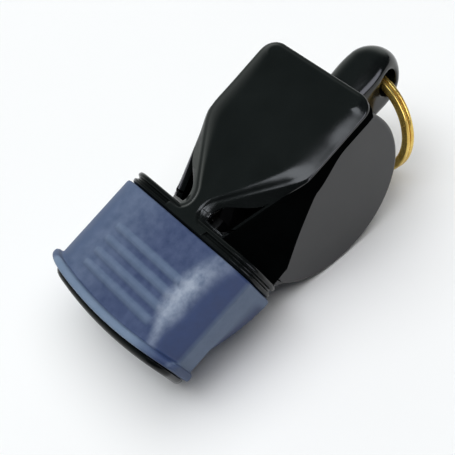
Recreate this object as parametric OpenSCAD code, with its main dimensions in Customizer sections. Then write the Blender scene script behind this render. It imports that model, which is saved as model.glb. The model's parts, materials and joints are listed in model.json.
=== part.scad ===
// Pealess three-chamber sports whistle with a cushioned mouthpiece and a split ring.
// The modules are drawn level: X runs from the mouth end to the lug, and Z = 0 is the top plate.
// lie_down() then tips the whistle onto the surface that it rests on.

/* [Top plate] */
// How far the plate's edges lie inside the side walls
plate_inset = 0.1; // [0.05:0.05:1]
// Distance from the mouth end to the plate's rear edge
plate_rear_x = 46.7; // [45:0.1:48]
// Distance from the mouth end to the bend where the plate starts to narrow
plate_bend_x = 32.6; // [30:0.2:36]
// Width of the neck that joins the plate to the mouthpiece
neck_w = 3.4; // [2.4:0.1:6]
// Radius of the plate's rear corners
plate_corner_r = 2.8; // [1:0.1:5]

/* [Barrel] */
// Width over the flat side walls
body_w = 21.2; // [19:0.1:24]
// Radius of the round barrel
barrel_r = 13.6; // [12.6:0.1:14.6]
// Distance from the mouth end to the barrel's axis
barrel_x = 33.3; // [32.4:0.1:34.4]
// Depth of the barrel's axis under the plate
barrel_depth = 7.9; // [6.5:0.1:9.5]
// Thickness of the moulded walls
wall = 1.5; // [1:0.1:2]

/* [Cheeks and windows] */
// Depth of the wall's top edge under the plate at the rear
ridge_rear_depth = 2.3; // [1.8:0.1:3]
// Depth of the wall's top edge under the plate's bend
ridge_bend_depth = 4.3; // [3.2:0.1:5.5]
// Depth of the wall's top edge at the mouthpiece
ridge_front_depth = 11.7; // [10:0.1:13]
// Width over the cheeks' shoulders at the neck
shoulder_w = 12.8; // [11:0.1:15]
// Depth of the cheeks' shoulders under the plate at the neck
shoulder_depth = 2; // [1:0.1:3]
// Length of a side window along the whistle
side_window_len = 7; // [4:0.1:8]
// Length of the bottom window along the whistle
bottom_window_len = 5.4; // [4:0.1:7]

/* [Mouthpiece] */
// Length of the mouthpiece from its front to the rear flange
mouth_len = 17.8; // [16:0.1:19]
// Width of the mouthpiece's front bead
bead_w = 25.4; // [23.5:0.1:25.8]
// Height of the mouthpiece's front bead
bead_h = 9.8; // [8.6:0.1:11]
// How far the middle of the mouth end stands ahead of its corners
mouth_bow = 1.5; // [0.5:0.1:2.5]
// Width of the mouthpiece's tube under the sleeve
tube_w = 21.6; // [20:0.1:22.4]
// Height of the mouthpiece's tube under the sleeve
tube_h = 8; // [7.4:0.1:9]
// Depth of the mouthpiece's middle under the plate
mouth_depth = 5.4; // [5:0.1:6.4]
// Width of the rear flange
flange_w = 27.7; // [26:0.1:29]
// Height of the rear flange
flange_h = 10.6; // [9.4:0.1:11.4]
// Thickness of the rear flange
flange_t = 2; // [1.4:0.1:2.6]

/* [Grip] */
// Greatest width of the rubber sleeve
grip_w = 27.5; // [26:0.1:28.5]
// Height of the rubber sleeve
grip_h = 11.8; // [10.8:0.1:14]
// Width of the sleeve's flat top
grip_flat_w = 20.6; // [18:0.2:23]
// Height of the sleeve's upright side strip
grip_strip_h = 5.6; // [3:0.1:7]
// Thickness of the sleeve's front lip along the whistle
lip_t = 1.4; // [0.8:0.1:2]
// How far the lip stands proud of the sleeve
lip_proud = 1.2; // [0.6:0.1:2]
// Number of ribs on each broad face
rib_count = 4; // [2:1:4]
// Distance from one rib to the next
rib_pitch = 2.2; // [1.8:0.1:2.6]
// Width of one rib
rib_w = 1.3; // [0.8:0.1:1.7]
// Length of one rib
rib_len = 16; // [10:0.5:18]
// Height of one rib above the sleeve
rib_h = 0.45; // [0.2:0.05:0.6]

/* [Chambers] */
// Width of the middle chamber
centre_chamber_w = 4.6; // [3.4:0.1:4.8]
// Thickness of a divider
divider_t = 1.1; // [0.8:0.1:1.2]
// Height of a windway
windway_h = 1.6; // [1:0.1:2]
// Width of a side windway
side_windway_w = 5.1; // [3.5:0.1:5.2]

/* [Lug and ring] */
// Distance from the barrel's rear to the centre of the ring hole
lug_reach = 6.1; // [5.8:0.1:7]
// Radius of the lug's round end
lug_r = 4; // [3.6:0.1:4.6]
// Width of the lug
lug_w = 7.4; // [5:0.1:7.6]
// Height of the ring hole over the barrel's lowest line
lug_height = 11; // [10.2:0.1:12]
// Diameter of the ring hole
ring_hole_d = 4.4; // [4.2:0.1:4.8]
// Outer diameter of the split ring
ring_d = 17.7; // [17:0.1:18.4]
// Width of the ring's flattened wire, measured towards the ring's centre
wire_w = 1.5; // [1:0.1:1.6]
// Thickness of one of the ring's two turns
wire_t = 0.8; // [0.6:0.05:0.9]

/* [Hidden] */
$fn = 96;
bow_fn = 240;
overrun = 0.5;
slice_t = 0.02;
seat_gap = 0.05;

// Where the whistle's main places lie
mid_z = -mouth_depth;
barrel_z = -barrel_depth;
lug_x = barrel_x + barrel_r + lug_reach;
lug_z = barrel_z - barrel_r + lug_height;
body_front_x = mouth_len + flange_t;
wall_y = body_w / 2;
inner_y = wall_y - wall;
plate_y = wall_y - plate_inset;

// Mouthpiece: its bead, its roundings and the circle of its bowed front
bead_len = 1.6;
bead_round = 3;
tube_round = 2.2;
tube_wall = 1.1;
flange_round = 1.2;
groove_w = 0.6;
groove_deep = 0.5;
bow_r = (pow(bead_w / 2, 2) + pow(mouth_bow, 2)) / (2 * mouth_bow);

// Sleeve
grip_front_x = bead_len + seat_gap;
grip_rear_x = mouth_len - seat_gap;
grip_edge_r = 0.6;
grip_edge_fn = 32;
rib_front_x = 5.2;
rib_r = (pow(rib_w / 2, 2) + pow(rib_h, 2)) / (2 * rib_h);
rib_fn = 32;

// Neck between the flange and the cheeks
neck_run = 1.6;
neck_flare = 1.2;
neck_root = 2.6;
neck_x = body_front_x + neck_run;

// Stations of the upper shell: place, half width on top, and depth of the wall's top edge
bend_step = 0.8;
bend_run = 5;
bend_share = 0.3;
station_x = [neck_x, plate_bend_x, plate_bend_x + bend_run, plate_rear_x];
station_half = [neck_w / 2, plate_y - bend_step, plate_y, plate_y];
station_depth = [ridge_front_depth, ridge_bend_depth,
    ridge_rear_depth + bend_share * (ridge_bend_depth - ridge_rear_depth), ridge_rear_depth];
notch_run = 0.8;

// Shoulders: the lines where the cheeks turn from shallow to steep, which run out to the side walls
edge_drop = 0.3;
edge_y = wall_y - plate_inset / 2;
shoulder_y = [shoulder_w / 2, edge_y, edge_y, edge_y];
shoulder_z = [-shoulder_depth, -edge_drop, -edge_drop, -edge_drop];

// Windows
window_front_rim = 0.3;
window_front_x = body_front_x + window_front_rim;
window_rear_x = window_front_x + side_window_len;
window_point_run = 1.4;
window_rim = 0.9;
window_side_rim = 0.4;

// Core: its windways and what it leaves free at the shells
core_gap = 0.05;
pocket_w = tube_w - 2 * tube_wall;
pocket_h = tube_h - 2 * tube_wall;
side_windway_y = pocket_w / 2 - side_windway_w / 2 - tube_wall;
divider_y = centre_chamber_w / 2;
core_front_inset = 0.3;

// Lug and split ring
lug_round = 1.6;
ring_mean_r = (ring_d - wire_w) / 2;
turn_gap = 0.06;
turn_pitch = wire_t + turn_gap;
wire_round = 0.3;
end_slot = 0.5;
end_angle = 24;

// Resting surface: it touches the sleeve's lip and the barrel
lip_low_x = grip_front_x;
lip_low_z = mid_z - grip_h / 2 - lip_proud;
rest_run = barrel_x - lip_low_x;
rest_rise = barrel_z - lip_low_z;
rest_pitch = asin(barrel_r / norm([rest_run, rest_rise])) - atan2(rest_rise, rest_run);
rest_z = barrel_r - barrel_x * sin(rest_pitch) - barrel_z * cos(rest_pitch);
front_x = -(mid_z + bead_h / 2) * sin(rest_pitch);
rear_x = lug_x * cos(rest_pitch) - lug_z * sin(rest_pitch) + lug_r;

// The ring leans towards the barrel until its edge is just over the resting surface
ring_gap = 0.1;
ring_half_t = (turn_pitch + wire_t) / 2;
ring_reach = norm([ring_mean_r + ring_d / 2, ring_half_t]);
hole_height = lug_x * sin(rest_pitch) + lug_z * cos(rest_pitch) + rest_z - ring_gap;
ring_lean = ring_reach > hole_height
    ? acos(hole_height / ring_reach) + atan2(ring_half_t, ring_mean_r + ring_d / 2) : 0;

// Tips the level whistle onto Z = 0 and centres its length
module lie_down() {
    translate([-(front_x + rear_x) / 2, 0, rest_z])
        rotate([0, -rest_pitch, 0])
            children();
}

// Rectangle with rounded corners
module round_rect(w, h, r) {
    square([w - 2 * r, h], center = true);
    square([w, h - 2 * r], center = true);
    for (sx = [-1, 1], sy = [-1, 1])
        translate([sx * (w / 2 - r), sy * (h / 2 - r)])
            circle(r);
}

// Stands an outline of width and height across the whistle and runs it from x0 to x1
module along(x0, x1, z = 0) {
    translate([x0, 0, z])
        rotate([90, 0, 90])
            linear_extrude(x1 - x0)
                children();
}

// Runs an outline of the side view across the whistle
module across(w) {
    rotate([90, 0, 0])
        linear_extrude(w, center = true)
            children();
}

// Upright drum whose front follows the bowed mouth end, a given way behind it
module bow_drum(back) {
    translate([bow_r + back, 0, mid_z - grip_h])
        cylinder(r = bow_r, h = 2 * grip_h, $fn = bow_fn);
}

// Whole mouthpiece: front bead, tube and grooved rear flange
module mouthpiece() {
    difference() {
        intersection() {
            along(0, bead_len + mouth_bow + overrun, mid_z)
                round_rect(bead_w, bead_h, bead_round);
            bow_drum(0);
        }
        bow_drum(bead_len);
    }
    intersection() {
        along(0, mouth_len, mid_z)
            round_rect(tube_w, tube_h, tube_round);
        bow_drum(0);
    }
    difference() {
        along(mouth_len, body_front_x, mid_z)
            round_rect(flange_w, flange_h, flange_round);
        difference() {
            along(mouth_len + (flange_t - groove_w) / 2, mouth_len + (flange_t + groove_w) / 2, mid_z)
                square([2 * flange_w, 2 * flange_h], center = true);
            along(mouth_len, body_front_x, mid_z)
                round_rect(flange_w - 2 * groove_deep, flange_h - 2 * groove_deep, flange_round);
        }
    }
}

// Hollow of the mouthpiece that takes the core's front block and opens into the room behind
module mouth_pocket(gap = 0) {
    along(-overrun, body_front_x + wall + overrun, mid_z)
        square([pocket_w - 2 * gap, pocket_h - 2 * gap], center = true);
}

// The upper shell's outside at a station: the plate, the shoulders and the wall's top edges
module outside_slice(i) {
    along(station_x[i] - slice_t, station_x[i])
        polygon([[-wall_y, -station_depth[i]], [-shoulder_y[i], shoulder_z[i]], [-station_half[i], 0],
            [station_half[i], 0], [shoulder_y[i], shoulder_z[i]], [wall_y, -station_depth[i]]]);
}

// One thin slice of the neck, narrow on top and wide below
module neck_slice(x, top_half) {
    low_half = neck_w / 2 + neck_root;
    along(x - slice_t, x)
        polygon([[-low_half, -mouth_depth], [-top_half, 0], [top_half, 0], [low_half, -mouth_depth]]);
}

// Neck that runs from inside the flange to the cheeks
module neck() {
    hull() {
        neck_slice(mouth_len + flange_t / 2, neck_w / 2 + neck_flare);
        neck_slice(neck_x, neck_w / 2);
    }
}

// The cheek's inner face, a wall's thickness under its outer face
function cheek_len(i) = norm([wall_y - station_half[i], station_depth[i]]);
function inner_half(i) = station_half[i]
    + wall * (wall_y - station_half[i] - cheek_len(i)) / station_depth[i];
function inner_depth(i) = (station_depth[i] * (inner_y - station_half[i]) + wall * cheek_len(i))
    / (wall_y - station_half[i]);

// One thin slice of the room inside, from the roof down past the wall's top edge
module inside_slice(i, gap) {
    along(station_x[i] - slice_t, station_x[i])
        polygon([[-inner_y + gap, -barrel_depth - barrel_r], [-inner_y + gap, -inner_depth(i) - gap],
            [-inner_half(i) + gap, -wall - gap], [inner_half(i) - gap, -wall - gap],
            [inner_y - gap, -inner_depth(i) - gap], [inner_y - gap, -barrel_depth - barrel_r]]);
}

// The room inside the body, less a gap
module room(gap = 0) {
    intersection() {
        union() {
            hull() {
                inside_slice(0, gap);
                inside_slice(1, gap);
            }
            hull() {
                inside_slice(1, gap);
                inside_slice(3, gap);
            }
        }
        across(body_w)
            inner_outline(gap);
    }
}

// Side view of the body: the round barrel, filled up past the plate
module body_outline() {
    translate([barrel_x, barrel_z])
        circle(barrel_r);
    polygon([[body_front_x, overrun], [plate_rear_x, overrun], [plate_rear_x, -ridge_rear_depth],
        [barrel_x + barrel_r, barrel_z], [barrel_x, barrel_z - barrel_r / 2],
        [body_front_x, -ridge_front_depth]]);
}

// Side view of the room inside, a wall's thickness further in
module inner_outline(gap) {
    front = body_front_x + wall + gap;
    rear = plate_rear_x - wall - gap;
    translate([barrel_x, barrel_z])
        circle(barrel_r - wall - gap);
    polygon([[front, overrun], [rear, overrun], [rear, -ridge_rear_depth],
        [barrel_x + barrel_r - wall - gap, barrel_z], [barrel_x, barrel_z - barrel_r / 2],
        [front, -ridge_front_depth]]);
}

// Side view of all that lies over the seam between the two shells
module over_seam() {
    polygon(concat(
        [[-overrun, barrel_r], [-overrun, mid_z], [body_front_x, mid_z],
            [body_front_x + notch_run, -ridge_front_depth]],
        [for (i = [0 : 3]) [station_x[i], -station_depth[i]]],
        [[plate_rear_x + barrel_r, -ridge_rear_depth], [plate_rear_x + barrel_r, barrel_r]]));
}

// How far from the middle the plate's edge and a shoulder lie, at a place before the bend
function along_bend(values, x) = values[0]
    + (values[1] - values[0]) * (x - station_x[0]) / (station_x[1] - station_x[0]);
function plate_edge(x) = along_bend(station_half, x);
function shoulder_edge(x) = along_bend(shoulder_y, x);

// Plan view of one side window: it lies between the plate's edge and the shoulder, pointed at its rear
module side_window() {
    point_x = window_rear_x - window_point_run;
    polygon([[window_front_x, neck_w / 2 + window_rim], [neck_x, neck_w / 2 + window_rim],
        [point_x, plate_edge(point_x) + window_rim], [window_rear_x, shoulder_edge(window_rear_x)],
        [window_front_x, shoulder_edge(window_front_x) - window_side_rim]]);
}

module top_shell() {
    color([0.05, 0.055, 0.06])
        difference() {
            union() {
                intersection() {
                    mouthpiece();
                    across(2 * flange_w)
                        over_seam();
                }
                intersection() {
                    union() {
                        neck();
                        for (i = [1 : 3])
                            hull() {
                                outside_slice(i - 1);
                                outside_slice(i);
                            }
                    }
                    plate_plan();
                    across(2 * flange_w)
                        over_seam();
                }
            }
            mouth_pocket();
            room();
            for (side = [0, 1])
                mirror([0, side, 0])
                    translate([0, 0, -barrel_depth - barrel_r])
                        linear_extrude(barrel_depth + barrel_r + overrun)
                            side_window();
        }
}

// Plan view of the body with the plate's rounded rear corners, as a tall block
module plate_plan() {
    translate([0, 0, -barrel_depth - barrel_r])
        linear_extrude(barrel_depth + barrel_r + overrun) {
            translate([0, -wall_y])
                square([plate_rear_x - plate_corner_r, body_w]);
            translate([0, plate_corner_r - wall_y])
                square([plate_rear_x, body_w - 2 * plate_corner_r]);
            for (side = [-1, 1])
                translate([plate_rear_x - plate_corner_r, side * (wall_y - plate_corner_r)])
                    circle(plate_corner_r);
        }
}

// Lug: a flat tongue with a round end and rounded edges
module lug() {
    translate([lug_x, 0, lug_z])
        rotate([90, 0, 0])
            rotate_extrude()
                intersection() {
                    round_rect(2 * lug_r, lug_w, lug_round);
                    translate([0, -lug_w])
                        square([2 * lug_r, 2 * lug_w]);
                }
    along(barrel_x, lug_x, lug_z)
        round_rect(lug_w, 2 * lug_r, lug_round);
}

module barrel_shell() {
    color([0.13, 0.13, 0.14])
        difference() {
            union() {
                intersection() {
                    mouthpiece();
                    across(2 * flange_w)
                        difference() {
                            translate([-overrun, mid_z - grip_h])
                                square([plate_rear_x, 2 * grip_h]);
                            over_seam();
                        }
                }
                across(body_w)
                    difference() {
                        body_outline();
                        over_seam();
                    }
                lug();
            }
            mouth_pocket();
            across(2 * inner_y)
                inner_outline(0);
            translate([window_front_x, -centre_chamber_w / 2, barrel_z - barrel_r])
                cube([bottom_window_len, centre_chamber_w, mid_z - flange_h / 2 - barrel_z + barrel_r]);
            translate([lug_x, 0, lug_z])
                rotate([90, 0, 0])
                    cylinder(d = ring_hole_d, h = 2 * lug_w, center = true);
        }
}

// Front block with the three windways, and the dividers behind it
module chamber_core() {
    color([0.09, 0.09, 0.1]) {
        difference() {
            intersection() {
                mouth_pocket(core_gap);
                bow_drum(core_front_inset);
                translate([0, -bead_w / 2, mid_z - bead_h])
                    cube([body_front_x, bead_w, 2 * bead_h]);
            }
            for (side = [-1, 1])
                translate([-overrun, side * side_windway_y - side_windway_w / 2,
                    mid_z + pocket_h / 2 - windway_h])
                    cube([2 * body_front_x, side_windway_w, 2 * windway_h]);
            translate([-overrun, -centre_chamber_w / 2, mid_z - pocket_h / 2 - windway_h])
                cube([2 * body_front_x, centre_chamber_w, 2 * windway_h]);
        }
        for (side = [-1, 1])
            intersection() {
                translate([body_front_x, side * (divider_y + divider_t / 2) - divider_t / 2,
                    -barrel_depth - barrel_r])
                    cube([plate_rear_x, divider_t, barrel_depth + barrel_r]);
                union() {
                    room(core_gap);
                    mouth_pocket(core_gap);
                }
            }
    }
}

// Outline of the sleeve across the whistle, grown by a margin
module grip_outline(grow = 0) {
    offset(r = grip_edge_r + grow, $fn = grip_edge_fn)
        offset(delta = -grip_edge_r)
            polygon([for (c = [[1, 1], [-1, 1], [-1, -1], [1, -1]], p = c[0] * c[1] > 0 ? [0, 1] : [1, 0])
                p == 0 ? [c[0] * grip_w / 2, c[1] * grip_strip_h / 2]
                    : [c[0] * grip_flat_w / 2, c[1] * grip_h / 2]]);
}

module mouth_grip() {
    color([0.33, 0.4, 0.56])
        difference() {
            union() {
                intersection() {
                    along(0, grip_rear_x, mid_z)
                        grip_outline();
                    bow_drum(grip_front_x);
                }
                difference() {
                    intersection() {
                        along(0, grip_front_x + lip_t + mouth_bow + lip_proud, mid_z)
                            grip_outline(lip_proud);
                        bow_drum(grip_front_x);
                    }
                    bow_drum(grip_front_x + lip_t);
                }
                for (face = [-1, 1], n = [0 : rib_count - 1])
                    translate([rib_front_x + n * rib_pitch, 0, mid_z + face * (grip_h / 2 + rib_h - rib_r)])
                        rib();
            }
            along(-overrun, mouth_len + overrun, mid_z)
                round_rect(tube_w + 2 * seat_gap, tube_h + 2 * seat_gap, tube_round);
        }
}

// One rib: a round bar across the sleeve with round ends
module rib() {
    rotate([90, 0, 0])
        cylinder(r = rib_r, h = rib_len - rib_w, center = true, $fn = rib_fn);
    for (side = [-1, 1])
        translate([0, side * (rib_len - rib_w) / 2, 0])
            sphere(rib_r, $fn = rib_fn);
}

// Split ring: two turns of flattened wire with a groove between, and a slot at each wire end
module split_ring() {
    color([0.8, 0.68, 0.3])
        translate([lug_x, 0, lug_z])
            rotate([0, rest_pitch + ring_lean, 0])
                translate([0, 0, -ring_mean_r])
                    rotate([0, 90, 0])
                        difference() {
                            rotate_extrude() {
                                for (turn = [-1, 1])
                                    translate([ring_mean_r, turn * turn_pitch / 2])
                                        round_rect(wire_w, wire_t, wire_round);
                                translate([ring_mean_r, 0])
                                    square([wire_w - 2 * wire_round, turn_pitch], center = true);
                            }
                            for (turn = [-1, 1])
                                rotate([0, 0, turn * end_angle / 2])
                                    translate([0, -end_slot / 2, turn > 0 ? turn_gap / 2 : -turn_pitch])
                                        cube([ring_d, end_slot, turn_pitch - turn_gap / 2]);
                        }
}

lie_down() top_shell();
lie_down() barrel_shell();
lie_down() chamber_core();
lie_down() mouth_grip();
lie_down() split_ring();
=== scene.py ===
"""Sports whistle: the looks of its mouldings, rubber sleeve and split ring, built around the part in model.glb."""

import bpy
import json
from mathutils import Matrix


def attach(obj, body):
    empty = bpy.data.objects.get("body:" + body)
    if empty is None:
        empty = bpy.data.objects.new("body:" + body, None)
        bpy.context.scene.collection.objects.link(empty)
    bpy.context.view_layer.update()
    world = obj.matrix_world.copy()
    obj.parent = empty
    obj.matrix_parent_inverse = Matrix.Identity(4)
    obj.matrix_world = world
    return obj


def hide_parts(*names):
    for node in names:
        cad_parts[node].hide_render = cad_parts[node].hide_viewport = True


bl_info = {
    "name": "Sports Whistle",
    "version": (1, 0, 0),
    "blender": (4, 5, 0),
    "location": "View3D > Sidebar > Whistle",
    "description": "Builds the pieces of a pealess sports whistle and the studio that shows it",
    "category": "Add Mesh",
}

import json
import math

import bmesh
import bpy
from bpy.props import FloatProperty, FloatVectorProperty, IntProperty, PointerProperty
from mathutils import Matrix, Vector

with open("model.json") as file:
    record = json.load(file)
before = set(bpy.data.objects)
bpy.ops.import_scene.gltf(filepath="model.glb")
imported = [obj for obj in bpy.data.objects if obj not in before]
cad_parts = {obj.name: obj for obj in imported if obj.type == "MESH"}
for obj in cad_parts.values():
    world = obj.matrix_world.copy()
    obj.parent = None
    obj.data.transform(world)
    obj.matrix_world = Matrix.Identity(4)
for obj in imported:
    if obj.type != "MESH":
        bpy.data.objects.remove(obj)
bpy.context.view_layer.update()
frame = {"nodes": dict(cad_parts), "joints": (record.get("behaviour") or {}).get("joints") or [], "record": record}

MM = 0.001
TOUCHING = 1e-6
WHISTLE_BODY = "whistle"
RING_BODY = "ring"
RECORD_MOUNTS = {mount["name"]: mount for mount in frame["record"]["mounts"]}
HINGE = next(joint for joint in frame["joints"] if joint["name"] == "ring_swing")


# Properties

def size(name, description, millimetres):
    """A length that a user can change."""
    return FloatProperty(name=name, description=description, default=millimetres * MM,
                         unit="LENGTH", precision=5)


def colour(name, description, default):
    """A linear colour that a user can change."""
    return FloatVectorProperty(name=name, description=description, default=default, size=3,
                               subtype="COLOR", min=0.0, max=1.0)


class WhistlePlateSizes(bpy.types.PropertyGroup):
    """Sizes of the upper moulding"""
    rear_x: size("Rear edge", "Distance from the mouth end to the plate's rear edge", 46.7)
    bend_x: size("Bend", "Distance from the mouth end to the bend where the plate narrows", 32.7)
    half_w: size("Half width", "Half the plate's width", 10.55)
    corner_r: size("Corner radius", "Radius of the plate's rear corners", 2.8)
    bend_r: size("Bend radius", "Radius of the plate's bends", 6.0)
    neck_x: size("Neck", "Distance from the mouth end to the narrowest place of the neck", 21.6)
    neck_half: size("Neck half width", "Half the width of the neck", 1.55)
    crown_run: size("Crown run", "Width of the rolled-off strip along the plate's sides", 3.6)
    crown_drop: size("Crown drop", "How far the rolled-off strip falls at the plate's sides", 0.6)
    edge_run: size("Edge run", "Width of the round between the plate and its cheeks", 0.4)
    shoulder_half: size("Shoulder half width", "Half the width over the cheeks' shoulders at the neck", 6.4)
    shoulder_depth: size("Shoulder depth", "Depth of the cheeks' shoulders under the plate at the neck",
                         2.0)
    shoulder_step: size("Shoulder step", "Depth of the shoulders under the plate's edge behind its bend",
                        0.35)
    shoulder_run: size("Shoulder run", "Length of the round on the steep side of the shoulders", 1.8)
    ridge_rear: size("Ridge rear depth", "Depth of the ridge under the plate at the rear", 2.3)
    ridge_bend: size("Ridge bend depth", "Depth of the ridge under the plate's bend", 4.3)
    ridge_front: size("Ridge front depth", "Depth of the ridge under the plate at the mouthpiece", 11.6)
    window_front_x: size("Window front", "Distance from the mouth end to a side window's front end", 20.2)
    window_rear_x: size("Window rear", "Distance from the mouth end to a side window's pointed rear end",
                        27.4)
    window_strip: size("Window strip", "Width of the cheek between the plate's edge and a side window", 0.6)
    wall: size("Wall", "Thickness of the moulded walls", 1.0)


class WhistleBarrelSizes(bpy.types.PropertyGroup):
    """Sizes of the lower moulding"""
    half_w: size("Half width", "Half the width over the flat side walls", 10.6)
    radius: size("Radius", "Radius of the round barrel", 13.6)
    axis_x: size("Axis", "Distance from the mouth end to the barrel's axis", 33.3)
    axis_depth: size("Axis depth", "Depth of the barrel's axis under the plate", 7.9)
    edge_r: size("Edge radius", "Radius between the side walls and the drum", 0.7)
    window_len: size("Bottom window", "Length of the bottom window along the whistle", 5.4)
    window_w: size("Bottom window width", "Width of the bottom window", 4.6)
    wall: size("Wall", "Thickness of the moulded walls", 1.5)
    lug_x: size("Lug hole", "Distance from the mouth end to the centre of the ring hole", 53.0)
    lug_depth: size("Lug hole depth", "Depth of the ring hole under the plate", 10.5)
    lug_r: size("Lug radius", "Radius of the lug's round end", 4.0)
    lug_w: size("Lug width", "Width of the lug", 7.3)
    lug_fullness: FloatProperty(name="Lug fullness", default=2.25, min=1.5, max=6.0,
                                description="2 makes the lug's section an ellipse, and more makes it squarer")
    lug_taper: size("Lug taper", "Where the lug starts to get slimmer, ahead of its hole", 3.0)
    hole_r: size("Hole radius", "Radius of the ring hole", 2.0)
    hole_rim: size("Hole rim", "Radius of the hole's rims", 0.4)


class WhistleMouthSizes(bpy.types.PropertyGroup):
    """Sizes of the mouthpiece"""
    length: size("Length", "Distance from the mouth end to the flange", 17.8)
    depth: size("Depth", "Depth of the mouthpiece's middle under the plate", 5.4)
    bead_w: size("Bead width", "Width of the front bead", 26.0)
    bead_h: size("Bead height", "Height of the front bead", 9.8)
    bead_len: size("Bead length", "Length of the front bead", 1.0)
    bow: size("Bow", "How far the middle of the mouth end stands ahead of its corners", 1.2)
    tube_w: size("Tube width", "Width of the tube under the sleeve", 21.6)
    tube_h: size("Tube height", "Height of the tube under the sleeve", 8.0)
    pocket_w: size("Pocket width", "Width of the tube's inside", 19.4)
    pocket_h: size("Pocket height", "Height of the tube's inside", 5.8)
    flange_w: size("Flange width", "Width of the flange", 27.3)
    flange_h: size("Flange height", "Height of the flange", 10.6)
    flange_t: size("Flange thickness", "Thickness of the flange", 2.0)
    flange_round: size("Flange corner radius", "Radius of the flange's corners", 4.2)
    groove_deep: size("Groove depth", "Depth of the groove round the flange", 0.45)


class WhistleGripSizes(bpy.types.PropertyGroup):
    """Sizes of the rubber sleeve"""
    width: size("Width", "Greatest width of the sleeve", 27.5)
    height: size("Height", "Height of the sleeve", 11.8)
    flat_w: size("Flat width", "Width of the sleeve's flat top", 17.0)
    side_r: size("Side radius", "Radius of the rounds from the flat top down to the upright side strips",
                 6.6)
    lip_t: size("Lip thickness", "Thickness of the front lip along the whistle", 1.2)
    lip_edge: size("Lip edge radius", "Radius of the front lip's edges", 0.35)
    lip_proud: size("Lip height", "How far the lip stands proud of the sleeve", 1.1)
    rib_count: IntProperty(name="Ribs", description="Ribs on each broad face", default=4, min=1, max=4)
    rib_x: size("First rib", "Distance from the mouth end to the first rib", 5.2)
    rib_pitch: size("Rib pitch", "Distance from one rib to the next", 2.2)
    rib_w: size("Rib width", "Width of one rib at its foot", 1.95)
    rib_len: size("Rib length", "Length of one rib", 16.0)
    rib_h: size("Rib height", "Height of one rib above the sleeve", 0.42)
    # the streak is partly rubbed rubber and partly a painted highlight
    streak_x: size("Streak place", "Distance from the mouth end to the innermost place of the worn streak",
                   10.4)
    streak_y: size("Streak offset", "Distance of the worn streak from the middle at its innermost place",
                   8.3)


class WhistleRingSizes(bpy.types.PropertyGroup):
    """Sizes of the split ring"""
    mean_r: size("Mean radius", "Radius of the middle of the wound wire", 8.1)
    wire_w: size("Wire width", "Width of the flattened wire", 1.38)
    wire_t: size("Wire thickness", "Thickness of one turn", 0.70)
    turn_pitch: size("Turn pitch", "Distance between the middles of the two turns", 0.80)
    wire_round: size("Wire rounding", "Radius of the wire's edges", 0.3)


class WhistleFinishes(bpy.types.PropertyGroup):
    """Colours of the finishes"""
    gloss: colour("Gloss black", "Polished upper moulding", (0.0045, 0.0056, 0.0056))
    satin: colour("Satin black", "Satin barrel", (0.026, 0.026, 0.027))
    core: colour("Core black", "Inner moulding", (0.002, 0.002, 0.002))
    rubber: colour("Rubber", "Blue-grey sleeve", (0.027, 0.046, 0.118))
    # the lighter tone of the ribs and the lip, also painted light on the upright side strips and the +Y side
    rubber_light_and_painted_light: colour("Light rubber", "Ribs and edges of the sleeve", (0.138, 0.196, 0.290))
    # rubbed white, also used for the painted highlight of the streak and painted sheen on the side strips
    rubber_worn_and_painted_sheen: colour("Rubbed rubber", "Rubbed edges of the sleeve", (0.300, 0.345, 0.430))
    brass: colour("Brass", "Brass-coloured ring", (0.98, 0.74, 0.22))
    brass_dull: colour("Dull brass", "Handled places of the ring", (0.70, 0.44, 0.09))
    floor: colour("Floor", "Pale floor", (0.90, 0.90, 0.90))


# Geometry helpers

def level_matrix(barrel):
    """Takes the level whistle, with X from the mouth end and Z 0 on the plate, to its place at rest."""
    up = Vector(RECORD_MOUNTS["top_plate"]["axis"])
    pitch = math.atan2(-up.x, up.z)
    return (Matrix.Translation(HINGE["pos_m"]) @ Matrix.Rotation(-pitch, 4, "Y")
            @ Matrix.Translation((-barrel.lug_x, 0.0, barrel.lug_depth)))


def rounded(corners, segments):
    """A plane outline from (x, y, radius) corners, each round one as an arc. The ends stay sharp."""
    points = []
    for index, (x, y, radius) in enumerate(corners):
        here = Vector((x, y))
        if radius == 0.0 or index in (0, len(corners) - 1):
            points.append(here)
            continue
        back = (Vector(corners[index - 1][:2]) - here).normalized()
        ahead = (Vector(corners[index + 1][:2]) - here).normalized()
        half = back.angle(ahead) / 2
        centre = here + (back + ahead).normalized() * radius / math.sin(half)
        first = here + back * radius / math.tan(half) - centre
        last = here + ahead * radius / math.tan(half) - centre
        turn = first.angle_signed(last)
        for step in range(segments + 1):
            arm = first.copy()
            arm.rotate(Matrix.Rotation(-turn * step / segments, 2))
            points.append(centre + arm)
    return points


def resampled(points, step):
    """The outline with its long runs cut into steps."""
    result = [points[0]]
    for start, end in zip(points, points[1:]):
        count = max(1, round((end - start).length / step))
        result += [start.lerp(end, n / count) for n in range(1, count + 1)]
    return result


def rounded_rect(width, height, radius, segments, flat_steps):
    """Closed outline of a rectangle with round corners, as (y, z) pairs, from the right of its top."""
    points = []
    for quarter in range(4):
        sx = (1, -1, -1, 1)[quarter]
        sy = (1, 1, -1, -1)[quarter]
        for step in range(segments + 1):
            angle = math.pi / 2 * (quarter + step / segments)
            points.append(Vector((sx * (width / 2 - radius) + radius * math.cos(angle),
                                  sy * (height / 2 - radius) + radius * math.sin(angle))))
        if quarter in (0, 2):
            flat = width / 2 - radius
            for n in range(1, flat_steps):
                points.append(Vector((sx * flat * (1 - 2 * n / flat_steps), sy * height / 2)))
    return points


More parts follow.
